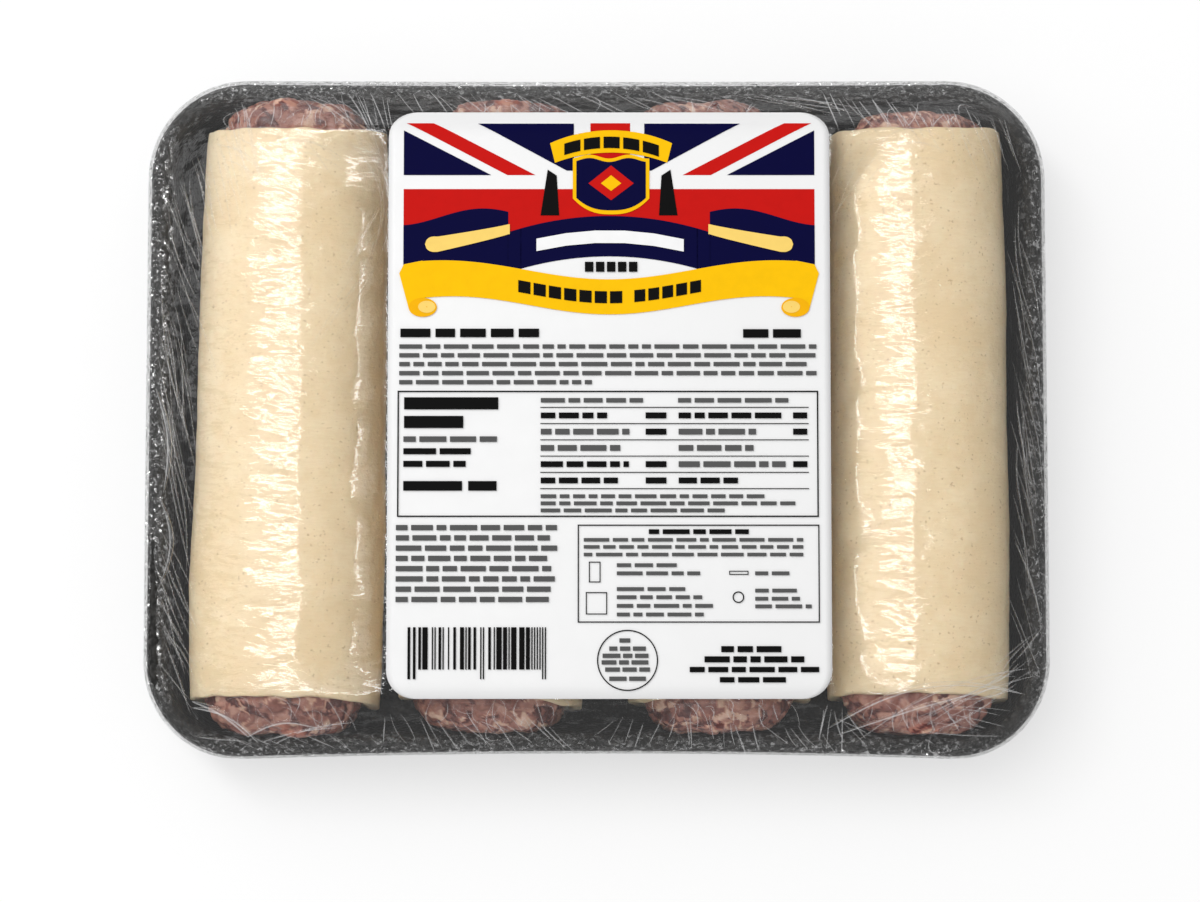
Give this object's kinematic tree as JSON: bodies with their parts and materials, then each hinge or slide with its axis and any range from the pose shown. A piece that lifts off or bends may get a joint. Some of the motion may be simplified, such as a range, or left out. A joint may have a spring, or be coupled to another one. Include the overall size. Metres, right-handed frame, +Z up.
{
  "type": "tray pack of sausage rolls",
  "caption": "Sealed foam tray of raw sausage rolls lying side by side under clear stretched film, with a paper label on top.",
  "frame": {"origin": "the surface that the pack stands on, under the middle of the tray", "axes": "+X along the tray's long side, to the right of the label's print; +Y along the rolls, towards the top of the label; +Z up"},
  "size_m": [0.1818, 0.1377, 0.0352],
  "materials": {
    "foam": "black expanded foam with a fine beaded skin, slightly shiny",
    "pastry": "raw pastry, pale cream with fine grain and specks, slightly moist",
    "meat": "coarse raw sausage meat, brown pink with pale fat, moist",
    "film": "clear stretched film, glossy, with fine wrinkles and pulls",
    "label": "white coated paper, printed in navy, red, gold and black, semi gloss"
  },
  "bodies": {
    "root": {"tray": "foam", "pastry_1": "pastry", "pastry_2": "pastry", "pastry_3": "pastry", "pastry_4": "pastry", "filling_1": "meat", "filling_2": "meat", "filling_3": "meat", "filling_4": "meat", "film": "film", "label": "label"}
  },
  "joints": []
}
